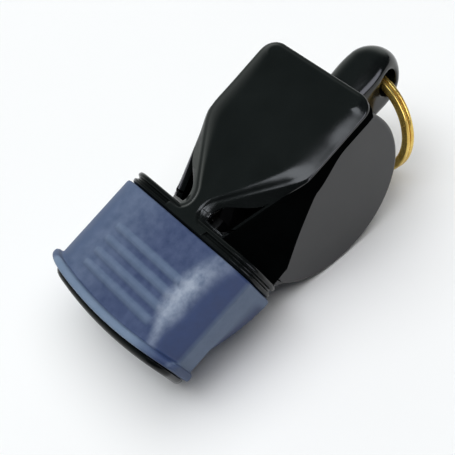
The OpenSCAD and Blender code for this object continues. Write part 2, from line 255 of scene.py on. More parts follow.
def ridge_depth(plate, x):
    """Depth of the ridge between cheek and side wall."""
    sag = 0.35 * MM
    rear_run = 7.0 * MM
    run = plate.bend_x - plate.neck_x - 1.4 * MM
    front = min(1.0, (plate.bend_x - x) / run)
    if front > 0:
        slope = plate.ridge_front - plate.ridge_bend
        return plate.ridge_bend + slope * front - sag * math.sin(math.pi * front)
    rear = smoothstep(0.0, rear_run, x - plate.bend_x)
    return plate.ridge_bend + (plate.ridge_rear - plate.ridge_bend) * rear


def tucked(spot, half_w, slope):
    """A place of a section, drawn in below the middle, where the mouth end gets slimmer."""
    limit = half_w - slope * max(0.0, -spot.y)
    if abs(spot.x) > limit:
        return Vector((math.copysign(limit, spot.x), spot.y))
    return spot


def first_row(bm, places, closed):
    """A row of vertices joined by edges."""
    row = [bm.verts.new(place) for place in places]
    edges = [bm.edges.new(pair) for pair in zip(row, row[1:])]
    if closed:
        edges.append(bm.edges.new((row[-1], row[0])))
    return row, edges


def next_row(bm, row, edges, places):
    """Extrudes a row of edges and moves the new vertices to their places."""
    made = bmesh.ops.extrude_edge_only(bm, edges=edges)["geom"]
    new_edges = [item for item in made if isinstance(item, bmesh.types.BMEdge)
                 and all(vert not in row for vert in item.verts)]
    linked = {}
    for vert in row:
        for edge in vert.link_edges:
            other = edge.other_vert(vert)
            if other not in row and other in made:
                linked[vert] = other
    new_row = [linked[vert] for vert in row]
    for vert, place in zip(new_row, places):
        vert.co = place
    return new_row, new_edges


def loft(bm, rows, joined=True):
    """Runs a skin through closed rows of places. Its last row meets the first, or both ends are capped."""
    row, edges = first_row(bm, rows[0], closed=True)
    first = row
    for places in rows[1:]:
        row, edges = next_row(bm, row, edges, places)
    if not joined:
        bm.faces.new(first)
        bm.faces.new(row)
        return
    for index, vert in enumerate(first):
        beyond = (index + 1) % len(first)
        bm.faces.new((row[index], row[beyond], first[beyond], vert))


def tidy_faces(bm, merge=1e-7):
    """Merges doubles and points all faces outwards."""
    bmesh.ops.remove_doubles(bm, verts=bm.verts, dist=merge)
    bmesh.ops.recalc_face_normals(bm, faces=bm.faces)


def make_piece(name, bm, body, slot, matrix, *materials):
    """Ends a bmesh as a finished object that rides on a body."""
    bmesh.ops.transform(bm, matrix=matrix, verts=bm.verts)
    mesh = bpy.data.meshes.new(name)
    bm.to_mesh(mesh)
    bm.free()
    for polygon in mesh.polygons:
        polygon.use_smooth = True
    piece = bpy.data.objects.new(name, mesh)
    bpy.context.scene.collection.objects.link(piece)
    for material in materials:
        mesh.materials.append(material)
    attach(piece, body)
    return piece


def round_edges(bm, edges, radius, segments):
    """Rounds some of a bmesh's edges."""
    bmesh.ops.bevel(bm, geom=edges, offset=radius, offset_type="OFFSET", segments=segments,
                    profile=0.5, affect="EDGES", material=-1, clamp_overlap=True)


def keep_flats(piece):
    """Shades the flats flat."""
    flats = piece.modifiers.new("Flat shading", "WEIGHTED_NORMAL")
    flats.keep_sharp = True


def add_wall(piece, thickness, edge_r):
    """Gives an open skin its wall, with its inside in the second material, and rounds the sharp edges."""
    shell = piece.modifiers.new("Wall", "SOLIDIFY")
    shell.thickness = thickness
    shell.material_offset = 1
    shell.offset = -1.0
    bevel = piece.modifiers.new("Rounded edges", "BEVEL")
    bevel.width = edge_r
    bevel.segments = 3
    bevel.limit_method = "ANGLE"
    bevel.angle_limit = math.radians(40)
    bevel.use_clamp_overlap = True
    keep_flats(piece)


def smoothstep(low, high, value):
    """0 below low, 1 above high, and a soft ramp between them."""
    share = min(1.0, max(0.0, (value - low) / (high - low)))
    return share * share * (3 - 2 * share)


def quarter_turn(steps):
    """The angles of a quarter turn, from 0 to a right angle."""
    return [math.pi / 2 * step / steps for step in range(steps + 1)]


# Shader helpers

def feed(tree, socket, value):
    """Links a socket to another, or sets its value."""
    if isinstance(value, bpy.types.NodeSocket):
        tree.links.new(value, socket)
    else:
        socket.default_value = value


def node(tree, kind, **values):
    """A node with its values set. A name with a capital first letter is an input's."""
    made = tree.nodes.new(kind)
    for key, value in values.items():
        if key[0].isupper():
            feed(tree, made.inputs[key.replace("_", " ")], value)
        else:
            setattr(made, key, value)
    return made


def new_group(name, inputs, outputs):
    """A shader node group with its sockets. Returns it with its two ends."""
    tree = bpy.data.node_groups.new(name, "ShaderNodeTree")
    for label, default in inputs.items():
        socket = tree.interface.new_socket(name=label, in_out="INPUT", socket_type="NodeSocketFloat")
        socket.default_value = default
    for label in outputs:
        tree.interface.new_socket(name=label, in_out="OUTPUT", socket_type="NodeSocketFloat")
    return tree, tree.nodes.new("NodeGroupInput"), tree.nodes.new("NodeGroupOutput")


def arithmetic(tree, operation, *terms):
    """The outcome of a math node whose terms are numbers or sockets."""
    made = node(tree, "ShaderNodeMath", operation=operation)
    for socket, term in zip(made.inputs, terms):
        feed(tree, socket, term)
    return made.outputs[0]


def ranged(tree, source, start, end, low, high, kind="LINEAR"):
    """A value that runs from low to high while its source runs from start to end."""
    made = node(tree, "ShaderNodeMapRange", interpolation_type=kind, Value=source,
                From_Min=start, From_Max=end, To_Min=low, To_Max=high)
    return made.outputs["Result"]


def ramp(tree, mask, low, high):
    """A value that follows a noise mask from low to high."""
    return ranged(tree, mask, start=0.3, end=0.7, low=low, high=high)


def blend(tree, mask, first, second):
    """A colour that follows a mask from the first colour to the second."""
    made = node(tree, "ShaderNodeMix", data_type="RGBA", Factor=mask, A=first, B=second)
    return made.outputs["Result"]


def bump(tree, height, strength, distance, **under):
    """A bump normal from a height."""
    made = node(tree, "ShaderNodeBump", Strength=strength, Distance=distance, Height=height, **under)
    return made.outputs["Normal"]


def opaque(tone, share=1.0):
    """A colour with its alpha, made lighter or darker."""
    return (*(min(1.0, channel * share) for channel in tone), 1.0)


def grain_group():
    """Fine moulded grain: a mask that changes over the surface and a height for bump."""
    name = "Moulded grain"
    if name in bpy.data.node_groups:
        return bpy.data.node_groups[name]
    tree, enter, leave = new_group(name, {"Scale": 4000.0, "Mottle Scale": 300.0}, ("Mottle", "Height"))
    place = node(tree, "ShaderNodeTexCoord").outputs["Object"]
    fine = node(tree, "ShaderNodeTexNoise", Vector=place, Scale=enter.outputs["Scale"],
                Detail=2.0, Roughness=0.6)
    broad = node(tree, "ShaderNodeTexNoise", Vector=place, Scale=enter.outputs["Mottle Scale"],
                 Detail=3.0, Roughness=0.55)
    tree.links.new(fine.outputs["Fac"], leave.inputs["Height"])
    tree.links.new(broad.outputs["Fac"], leave.inputs["Mottle"])
    return tree


def scratch_group():
    """Fine handling scratches: a mask of thin lines in a few directions."""
    name = "Handling scratches"
    if name in bpy.data.node_groups:
        return bpy.data.node_groups[name]
    tree, enter, leave = new_group(name, {"Scale": 120.0, "Density": 0.5}, ("Mask",))
    place = node(tree, "ShaderNodeTexCoord").outputs["Object"]
    line_half = 0.012
    lines = 0.0  # no line yet
    for turn, stretch in ((0.35, 14.0), (1.25, 18.0), (2.3, 11.0)):
        aim = node(tree, "ShaderNodeMapping", Vector=place, Rotation=(0.0, 0.0, turn),
                   Scale=(1.0, stretch, 1.0))
        noise = node(tree, "ShaderNodeTexNoise", Vector=aim.outputs["Vector"], Scale=enter.outputs["Scale"],
                     Detail=1.0, Roughness=0.5, Distortion=0.3)
        away = arithmetic(tree, "ABSOLUTE", arithmetic(tree, "SUBTRACT", noise.outputs["Fac"], 0.5))
        lines = arithmetic(tree, "MAXIMUM", lines, ranged(tree, away, 0.0, line_half, 1.0, 0.0))
    patches = node(tree, "ShaderNodeTexNoise", Vector=place, Scale=90.0, Detail=2.0)
    gate = ranged(tree, patches.outputs["Fac"], 0.5, 0.75, 0.0, 1.0)
    some = arithmetic(tree, "MULTIPLY", lines, gate)
    tree.links.new(arithmetic(tree, "MULTIPLY", some, enter.outputs["Density"]), leave.inputs["Mask"])
    return tree


class Finish:
    """A material with grain: its colour follows the mottle, and so does its roughness where one is given"""

    def __init__(self, name, tones, scale, mottle_scale, rough=None, fine_bump=None):
        self.material = bpy.data.materials.new(name)
        self.material.use_nodes = True
        self.tree = self.material.node_tree
        grain = node(self.tree, "ShaderNodeGroup", node_tree=grain_group(), Scale=scale,
                     Mottle_Scale=mottle_scale)
        self.mottle = grain.outputs["Mottle"]
        self.tone = blend(self.tree, ramp(self.tree, self.mottle, 0.0, 1.0), *tones)
        self.give(Base_Color=self.tone)
        if rough:
            self.give(Roughness=ramp(self.tree, self.mottle, *rough))
        if fine_bump:
            self.give(Normal=bump(self.tree, grain.outputs["Height"], *fine_bump))

    def give(self, **values):
        """Sets or links inputs of the shader."""
        shader = self.tree.nodes["Principled BSDF"]
        for key, value in values.items():
            feed(self.tree, shader.inputs[key.replace("_", " ")], value)


def black_material(finishes, name, low, high, rough, specular):
    """Polished black moulding between two shares of the gloss black, with its roughness and its gloss."""
    finish = Finish(name, (opaque(finishes.gloss, low), opaque(finishes.gloss, high)), 2500.0, 130.0)
    tree = finish.tree
    scratches = node(tree, "ShaderNodeGroup", node_tree=scratch_group(), Scale=110.0, Density=0.75)
    marks = scratches.outputs["Mask"]
    scratch_rough = 0.25
    smooth = ramp(tree, finish.mottle, rough, 1.6 * rough)
    waves = bump(tree, finish.mottle, 0.06, 0.6 * MM)
    finish.give(Roughness=arithmetic(tree, "MULTIPLY_ADD", marks, scratch_rough, smooth),
                Normal=bump(tree, marks, 0.1, 0.05 * MM, Normal=waves), Specular_IOR_Level=specular)
    return finish.material


def gloss_material(finishes):
    """Polished black of the plate and the lug."""
    return black_material(finishes, "Gloss black", low=0.8, high=1.25, rough=0.12, specular=0.5)


def shaded_mouth_material(finishes):
    """Black of the bead and the flange: painted shade, a darker and less glossy copy of the plate's gloss black.
    """
    return black_material(finishes, "Mouthpiece black", low=0.6, high=1.0, rough=0.16, specular=0.2)


def shaded_cheek_material(finishes):
    """Black of the steep cheeks: painted shade, a darker and unglossy copy of the plate's gloss black."""
    return black_material(finishes, "Cheek black", low=0.2, high=0.4, rough=0.2, specular=0.0)


def satin_material(finishes):
    """Satin black moulding with a fine even grain."""
    tones = (opaque(finishes.satin, 0.9), opaque(finishes.satin, 1.12))
    finish = Finish("Satin black", tones, 6000.0, 220.0, rough=(0.42, 0.5), fine_bump=(0.15, 0.04 * MM))
    return finish.material


def core_material(finishes):
    """Plain black moulding of the inner core."""
    tones = (opaque(finishes.core, 0.8), opaque(finishes.core, 1.3))
    finish = Finish("Core black", tones, 4000.0, 300.0, rough=(0.38, 0.5), fine_bump=(0.1, 0.03 * MM))
    return finish.material


def rubber_material(finishes):
    """Dull blue-grey rubber, lighter or worn white where its two attributes say; these also carry painted light,
    painted shade and a painted highlight.
    """
    tones = (opaque(finishes.rubber, 0.9), opaque(finishes.rubber, 1.1))
    finish = Finish("Blue-grey rubber", tones, 3500.0, 650.0, rough=(0.5, 0.62), fine_bump=(0.25, 0.05 * MM))
    tree = finish.tree
    light, wear_and_painted_sheen = (node(tree, "ShaderNodeAttribute", attribute_name=name).outputs["Fac"]
                   for name in ("light", "wear_and_painted_sheen"))
    # lighter where the light attribute says: partly painted light and painted shade
    lighter = blend(tree, light, finish.tone, opaque(finishes.rubber_light_and_painted_light))
    # the rubbed white mask also carries the painted highlight of the streak and the painted sheen of the side
    # strips
    patchy = arithmetic(tree, "MULTIPLY", wear_and_painted_sheen, ramp(tree, finish.mottle, 0.25, 1.75))
    finish.give(Base_Color=blend(tree, patchy, lighter, opaque(finishes.rubber_worn_and_painted_sheen)),
                IOR=1.48, Specular_IOR_Level=0.35)
    return finish.material


def brass_material(finishes):
    """Bright brass plating with handled, duller places."""
    tones = (opaque(finishes.brass_dull), opaque(finishes.brass))
    finish = Finish("Brass plating", tones, 2500.0, 500.0, rough=(0.28, 0.17), fine_bump=(0.08, 0.03 * MM))
    finish.give(Metallic=0.78)
    return finish.material


def floor_material(finishes):
    """Pale matte floor."""
    finish = Finish("Pale floor", (opaque(finishes.floor, 0.985), opaque(finishes.floor)), 400.0, 9.0)
    finish.give(Roughness=0.9, Specular_IOR_Level=0.1)
    return finish.material


# Operators

class WhistleOperator:
    """What the operators of all pieces share"""
    bl_options = {"REGISTER", "UNDO"}


class WHISTLE_OT_stage(WhistleOperator, bpy.types.Operator):
    """Add the camera, the pale floor and the soft studio light"""
    bl_idname = "whistle.stage"
    bl_label = "Stage"

    def execute(self, context):
        scene = context.scene
        self.add_camera(scene)
        self.add_floor(scene)
        self.add_lights(scene)
        self.add_world(scene)
        scene.view_settings.view_transform = "Standard"
        return {"FINISHED"}

    def add_camera(self, scene):
        """The photograph's view, from above the mouth end."""
        data = bpy.data.cameras.new("Photo view")
        data.lens = 84.61
        data.sensor_width = 36.0
        data.clip_start = 0.01
        camera = bpy.data.objects.new("Photo view", data)
        place = Vector((-50.286, -87.589, 126.826)) * MM
        aim = Vector((-4.841, 0.858, 7.928)) * MM
        roll = math.radians(-16.666)
        turn = (aim - place).to_track_quat("-Z", "Y").to_matrix().to_4x4()
        camera.matrix_world = Matrix.Translation(place) @ turn @ Matrix.Rotation(roll, 4, "Z")
        scene.collection.objects.link(camera)
        scene.camera = camera

    def add_floor(self, scene):
        """The surface that the whistle rests on."""
        bm = bmesh.new()
        bmesh.ops.create_circle(bm, cap_ends=True, segments=96, radius=3.0)
        mesh = bpy.data.meshes.new("floor")
        bm.to_mesh(mesh)
        bm.free()
        mesh.materials.append(floor_material(scene.whistle_finishes))
        floor = bpy.data.objects.new("floor", mesh)
        scene.collection.objects.link(floor)

    def add_light(self, scene, name, direction, distance, spans, power):
        """An elliptical light that is aimed at the whistle."""
        data = bpy.data.lights.new(name, "AREA")
        data.shape = "ELLIPSE"
        data.size, data.size_y = spans
        data.energy = power
        light = bpy.data.objects.new(name, data)
        place = Vector(direction).normalized() * distance
        turn = (-place).to_track_quat("-Z", "Y").to_matrix().to_4x4()
        light.matrix_world = Matrix.Translation(place) @ turn
        scene.collection.objects.link(light)
        return light

    def add_lights(self, scene):
        """A narrow softbox overhead, one at the side that only shines, and a wide fill that doesn't shine."""
        softbox = self.add_light(scene, "overhead_softbox", direction=(-0.25, -0.02, 0.97), distance=0.8,
                                 spans=(0.6, 0.22), power=1.15)
        softbox.data.color = (0.88, 0.93, 1.0)
        side = self.add_light(scene, "side_softbox", direction=(0.09, -0.8, 0.56), distance=0.8,
                              spans=(0.5, 0.7), power=3.2)
        side.data.color = (0.86, 0.88, 1.0)
        side.visible_diffuse = False
        fill = self.add_light(scene, "matte_fill", direction=(0.0, 0.05, 1.0), distance=1.3,
                              spans=(2.2, 2.2), power=24.0)
        fill.visible_glossy = False

    def add_world(self, scene):
        """A dark room with a pale glow low on the left, behind a plain pale backdrop."""
        world = bpy.data.worlds.new("Studio")
        world.use_nodes = True
        tree = world.node_tree
        room = opaque((0.015, 0.015, 0.018))
        dim = opaque((0.09, 0.115, 0.11))
        bright = opaque((0.80, 0.86, 0.82))
        backdrop = opaque((0.9, 0.9, 0.9))
        place = node(tree, "ShaderNodeTexCoord").outputs["Generated"]
        parts = node(tree, "ShaderNodeSeparateXYZ", Vector=place)
        left = ranged(tree, parts.outputs["Y"], 0.0, 0.45, 0.0, 1.0, "SMOOTHSTEP")
        low = ranged(tree, parts.outputs["Z"], 0.7, 0.15, 0.0, 1.0, "SMOOTHSTEP")
        sky = blend(tree, left, room, blend(tree, low, dim, bright))
        seen = node(tree, "ShaderNodeLightPath").outputs["Is Camera Ray"]
        feed(tree, tree.nodes["Background"].inputs["Color"], blend(tree, seen, sky, backdrop))
        scene.world = world


class WHISTLE_OT_top_cover(WhistleOperator, bpy.types.Operator):
    """Add the upper moulding: the crowned plate, the neck and the cheeks with their side windows"""
    bl_idname = "whistle.top_cover"
    bl_label = "Top cover"

    crown_shares = (1.0, 0.85, 0.7, 0.55, 0.4, 0.25, 0.12, 0.0)
    edge_steps = 3
    shoulder_steps = 4
    # slot of the cheek black, which paints shade on the steep cheeks
    shaded_cheek_index = 2

    def execute(self, context):
        scene = context.scene
        plate = scene.whistle_plate
        finishes = scene.whistle_finishes
        bm = bmesh.new()
        self.add_half(bm, plate, scene.whistle_barrel, scene.whistle_mouth)
        bmesh.ops.mirror(bm, geom=bm.verts[:] + bm.edges[:] + bm.faces[:], axis="Y",
                         merge_dist=TOUCHING)
        tidy_faces(bm, merge=2 * TOUCHING)
        if sum(face.normal.z * face.calc_area() for face in bm.faces) < 0:
            bmesh.ops.reverse_faces(bm, faces=bm.faces)
        cover = make_piece("top_cover", bm, WHISTLE_BODY, "gloss_body", level_matrix(scene.whistle_barrel),
                           gloss_material(finishes), core_material(finishes), shaded_cheek_material(finishes))
        add_wall(cover, thickness=plate.wall, edge_r=0.22 * MM)
        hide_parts("top_shell")
        return {"FINISHED"}

    def outline(self, plate, mouth):
        """Half the plate's outline, from the flange round the neck, bend and rear corner to the middle."""
        flange_x = mouth.length + mouth.flange_t
        overlap = 0.3 * MM
        flare = 2.6 * MM
        neck_turn = 1.5 * MM
        corners = [(flange_x - overlap, plate.neck_half + flare, 0.0),
                   (flange_x - 0.05 * MM, plate.neck_half, neck_turn),
                   (plate.neck_x + 0.5 * MM, plate.neck_half, 2 * neck_turn),
                   (plate.bend_x, plate.half_w, plate.bend_r),
                   (plate.rear_x, plate.half_w, plate.corner_r),
                   (plate.rear_x, 0.0, 0.0)]
        return resampled(rounded(corners, segments=10), step=0.45 * MM)

    def add_half(self, bm, plate, barrel, mouth):
        """Adds the skin of one side, from the plate's flat down to the ridge, and cuts its window."""
        points = self.outline(plate, mouth)
        columns = []
        for point, back, ahead in zip(points, points[:1] + points, points[1:] + points[-1:]):
            along = ahead - back
            inward = Vector((along.y, -along.x)).normalized()
            if point is points[-1]:
                inward = Vector((-1.0, 0.0))
            columns.append(self.column(plate, barrel, point, inward))
        rows = list(zip(*columns))
        row, edges = first_row(bm, rows[0], closed=False)
        inner = row
        strip_row = len(self.crown_shares) + self.edge_steps
        window_rows = []
        for index, places in enumerate(rows[1:], 1):
            row, edges = next_row(bm, row, edges, places)
            # painted shade: the steep faces of the cheeks take the darker cheek black
            if index > strip_row + 2:
                for face in {face for edge in edges for face in edge.link_faces}:
                    face.material_index = self.shaded_cheek_index
            if index in (strip_row, strip_row + 1):
                window_rows.append(row)
        self.cap_plate(bm, inner)
        inside = [plate.window_front_x < point.x < plate.window_rear_x for point in points]
        self.cut_window(bm, window_rows, inside)

    def shoulder(self, plate, point, turned):
        """The place on the line where a cheek turns from shallow to steep, beside a point of the outline."""
        share = min(1.0, (point.x - plate.neck_x) / (plate.bend_x - plate.neck_x))
        low = plate.crown_drop + plate.shoulder_step
        y = plate.shoulder_half + (plate.half_w - plate.shoulder_half) * share
        return Vector((point.x, y + (max(point.y, 0.0) - y) * turned,
                       -plate.shoulder_depth + (plate.shoulder_depth - low) * share))

    def curve(self, start, middle, end, count):
        """Places along a quadratic curve, without its start."""
        shares = [step / count for step in range(1, count + 1)]
        return [start * (1 - share) ** 2 + middle * 2 * share * (1 - share) + end * share ** 2
                for share in shares]

    def crown(self, plate, point, turned):
        """Width and drop of the rolled-off strip beside a point of the outline."""
        growth = 2.2
        rear_zone = plate.corner_r + 6.0 * MM
        rear_run = 7.0 * MM
        rear_loss = 0.42
        rear_share = 0.1
        least_run = 0.95 * MM
        least_drop = 0.35
        behind = smoothstep(0.0, rear_run, point.x - plate.rear_x + rear_zone)
        share = (max(0.0, point.y) / plate.half_w) ** growth * (1 - rear_loss * behind)
        share = share * (1 - turned) + rear_share * turned
        run = least_run + (plate.crown_run - 0.5 * MM) * share
        return run, plate.crown_drop * (least_drop + (1 - least_drop) * share)

    def column(self, plate, barrel, point, inward):
        """Places from the plate's flat, over its crown and edge, the shoulder and down to the ridge."""
        turned = smoothstep(0.0, 1.0, -inward.x) if point.x > plate.bend_x else 0.0
        run, drop = self.crown(plate, point, turned)
        edge_run = min(plate.edge_run, 0.5 * run)
        places = []
        for share in self.crown_shares:
            spot = point + inward * (edge_run + (run - edge_run) * share)
            places.append(Vector((spot.x, max(spot.y, 0.0), -drop * (1 - share) ** 2)))
        corner_drop = 1.06 * drop
        corner = Vector((point.x, point.y, -corner_drop))
        shoulder = self.shoulder(plate, point, turned)
        shoulder.z = min(shoulder.z, corner.z - plate.shoulder_step)
        ridge = Vector((point.x, point.y + (barrel.half_w - point.y) * (1 - turned),
                        -ridge_depth(plate, point.x)))
        fall = corner.lerp(shoulder, min(0.5, edge_run / (shoulder - corner).length))
        places += self.curve(places[-1], corner, fall, self.edge_steps)
        most = 0.45
        shallow_run = 0.6 * MM
        start = shoulder.lerp(fall, min(most, shallow_run / (shoulder - fall).length))
        end = shoulder.lerp(ridge, min(most, plate.shoulder_run / (ridge - shoulder).length))
        widest_strip = 0.4
        strip = min(plate.window_strip / (start - fall).length, widest_strip)
        closed_strip = 0.96
        closing_len = 4.5 * MM
        closing = smoothstep(plate.window_rear_x - closing_len, plate.window_rear_x, point.x)
        strip += (closed_strip - strip) * closing
        places += [fall.lerp(start, strip), start]
        places += self.curve(start, shoulder, end, self.shoulder_steps)
        return places + [end.lerp(ridge, 0.5), ridge]

    def cap_plate(self, bm, inner):
        """Closes the plate's flat middle between its crowned edge and the centre line."""
        ends = [inner[0], inner[-1]]
        middle = [bm.verts.new((vert.co.x, 0.0, vert.co.z)) for vert in ends if abs(vert.co.y) > TOUCHING]
        bm.faces.new(inner + middle[::-1])

    def cut_window(self, bm, window_rows, inside):
        """Leaves out the faces between the cheek's strip and its outer rim."""
        upper, lower = window_rows
        doomed = []
        for index in range(len(upper) - 1):
            if inside[index] and inside[index + 1]:
                quad = {upper[index], upper[index + 1], lower[index], lower[index + 1]}
                doomed += [face for face in upper[index].link_faces if set(face.verts) == quad]
        bmesh.ops.delete(bm, geom=doomed, context="FACES_ONLY")


class WHISTLE_OT_mouthpiece(WhistleOperator, bpy.types.Operator):
    """Add the mouthpiece: its bowed front bead, the tube under the sleeve and the grooved flange"""
    bl_idname = "whistle.mouthpiece"
    bl_label = "Mouthpiece"

    def execute(self, context):
        scene = context.scene
        mouth = scene.whistle_mouth
        bm = bmesh.new()
        loft(bm, [self.section(mouth, *station) for station in self.stations(mouth)])
        tidy_faces(bm)
        # painted shade: the bead and the flange take the darker mouthpiece black
        piece = make_piece("mouthpiece", bm, WHISTLE_BODY, "gloss_body", level_matrix(scene.whistle_barrel),
                           shaded_mouth_material(scene.whistle_finishes))
        keep_flats(piece)
        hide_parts("top_shell")
        return {"FINISHED"}

    def stations(self, mouth):
        """Rows of the skin: place along the whistle, width, height, corner radius and share of the bow."""
        pocket_r = 0.3 * MM
        rim = 0.8 * MM
        bead_r = 3.0 * MM
        bead_end = mouth.bead_len
        chamfer = 0.1 * MM
        tube_r = 2.2 * MM
        opening = ((3.0 * MM, 0.0, pocket_r), (0.45 * MM, 0.0, pocket_r),
                   (0.1 * MM, 0.2 * MM, 0.5 * MM), (0.0, 0.8 * MM, 0.8 * MM))
        rows = [(mouth.length + mouth.flange_t, mouth.pocket_w, mouth.pocket_h, pocket_r, 0.0)]
        for x, grow, radius in opening:
            rows.append((x, mouth.pocket_w + grow, mouth.pocket_h + grow, radius, 1.0))
        for angle in quarter_turn(6):
            inset = rim * (1 - math.sin(angle))
            rows.append((rim * (1 - math.cos(angle)), mouth.bead_w - 2 * inset, mouth.bead_h - 2 * inset,
                         bead_r - 0.8 * inset, 1.0))
        rows += [(bead_end - chamfer, mouth.bead_w, mouth.bead_h, bead_r, 1.0),
                 (bead_end, mouth.bead_w - 2 * chamfer, mouth.bead_h - 2 * chamfer, bead_r, 1.0),
                 (bead_end, mouth.tube_w, mouth.tube_h, tube_r, 1.0),
                 (mouth.length, mouth.tube_w, mouth.tube_h, tube_r, 0.0)]
        return rows + self.flange_stations(mouth)

    def flange_stations(self, mouth):
        """Rows of the flange: two rounded ridges with a groove between them."""
        start = mouth.length
        end = start + mouth.flange_t
        middle = (start + end) / 2
        round_r = 0.4 * MM
        deep = mouth.groove_deep
        sunk = 1.0 * MM
        edge = ((0.0, sunk), (0.0, round_r), (0.12 * MM, 0.12 * MM), (round_r, 0.0))
        groove = ((0.42 * MM, 0.0), (0.28 * MM, 0.1 * MM), (0.14 * MM, 0.8 * deep))
        profile = [(start + away, inset) for away, inset in edge]
        profile += [(middle - away, inset) for away, inset in groove]
        profile.append((middle, deep))
        profile += [(middle + away, inset) for away, inset in reversed(groove)]
        profile += [(end - away, inset) for away, inset in reversed(edge)]
        return [(x, mouth.flange_w - 2 * inset, mouth.flange_h - 2 * inset, mouth.flange_round - inset, 0.0)
                for x, inset in profile]

    def section(self, mouth, x, width, height, radius, bow):
        """One row across the mouthpiece, with its ends drawn back as the mouth end bows."""
        side_slope = 0.45
        slope = side_slope * bow if width > mouth.tube_w else 0.0
        places = []
        for spot in rounded_rect(width, height, radius, segments=6, flat_steps=16):
            spot = tucked(spot, width / 2, slope)
            back = mouth.bow * (spot.x / (mouth.bead_w / 2)) ** 2
            places.append(Vector((x + back * bow, spot.x, spot.y - mouth.depth)))
        return places


class WHISTLE_OT_barrel(WhistleOperator, bpy.types.Operator):
    """Add the lower moulding: the round barrel with its flat side walls and the bottom window"""
    bl_idname = "whistle.barrel"
    bl_label = "Barrel"

    def execute(self, context):
        scene = context.scene
        barrel = scene.whistle_barrel
        mouth = scene.whistle_mouth
        finishes = scene.whistle_finishes
        bm = bmesh.new()
        top, under = self.outline(barrel, scene.whistle_plate, mouth)
        side = bm.faces.new([bm.verts.new((spot.x, barrel.half_w, spot.y)) for spot in top + under])
        extruded = bmesh.ops.extrude_face_region(bm, geom=[side])["geom"]
        moved = [item for item in extruded if isinstance(item, bmesh.types.BMVert)]
        bmesh.ops.translate(bm, verts=moved, vec=(0.0, -2 * barrel.half_w, 0.0))
        tidy_faces(bm)
        self.open_top(bm, top)
        self.cut_window(bm, barrel, mouth.length + mouth.flange_t)
        drum = [edge for edge in bm.edges if len(edge.link_faces) == 2
                and abs(abs(edge.verts[0].co.y) - barrel.half_w) < TOUCHING
                and abs(edge.verts[0].co.y - edge.verts[1].co.y) < TOUCHING]
        round_edges(bm, drum, radius=barrel.edge_r, segments=4)
        piece = make_piece("barrel_body", bm, WHISTLE_BODY, "satin_body", level_matrix(barrel),
                           satin_material(finishes), core_material(finishes))
        add_wall(piece, thickness=barrel.wall, edge_r=0.25 * MM)
        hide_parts("barrel_shell")
        return {"FINISHED"}

    def outline(self, barrel, plate, mouth):
        """Side view of the barrel: along the ridge from the rear to the flange, and round under."""
        step = 0.7 * MM
        front_x = plate.neck_x + 0.6 * MM
        rise = math.asin((barrel.axis_depth - plate.ridge_rear) / barrel.radius)
        rear_x = barrel.axis_x + barrel.radius * math.cos(rise)
        length = rear_x - front_x
        count = int(length / step)
        top = [Vector((x, -ridge_depth(plate, x)))
               for x in (rear_x - length * n / count for n in range(count + 1))]
        flange_x = mouth.length + mouth.flange_t
        overlap = 0.4 * MM
        low = -plate.ridge_front - 0.2 * MM
        top += [Vector((flange_x + 0.45 * MM, low)), Vector((flange_x - overlap, low))]
        under = [Vector((flange_x - overlap, -plate.ridge_front - 0.6 * MM))]
        start = math.radians(205)
        sweep = math.radians(155) + rise
        steps = 64
        for index in range(steps):
            angle = start + sweep * index / steps
            under.append(Vector((barrel.axis_x + barrel.radius * math.cos(angle),
                                 -barrel.axis_depth + barrel.radius * math.sin(angle))))
        return top, under

    def open_top(self, bm, top):
        """Takes away the faces that would close the barrel along its ridge."""
        digits = 6
        keys = {(round(spot.x, digits), round(spot.y, digits)) for spot in top}
        doomed = []
        for face in bm.faces:
            if len(face.verts) == 4 and abs(face.normal.y) < 0.5:
                spots = {(round(vert.co.x, digits), round(vert.co.z, digits)) for vert in face.verts}
                if spots <= keys:
                    doomed.append(face)
        bmesh.ops.delete(bm, geom=doomed, context="FACES_ONLY")

    def cut_window(self, bm, barrel, front):
        """Cuts the bottom window through the drum just behind the flange."""
        half = barrel.window_w / 2
        for side in (-1, 1):
            bmesh.ops.bisect_plane(bm, geom=bm.verts[:] + bm.edges[:] + bm.faces[:],
                                   plane_co=(0.0, side * half, 0.0), plane_no=(0.0, 1.0, 0.0))
        doomed = []
        for face in bm.faces:
            x, y, z = face.calc_center_median()
            if (abs(face.normal.y) < 0.5 and abs(y) < half and z < -barrel.axis_depth
                    and front - MM < x < front + barrel.window_len):
                doomed.append(face)
        bmesh.ops.delete(bm, geom=doomed, context="FACES")


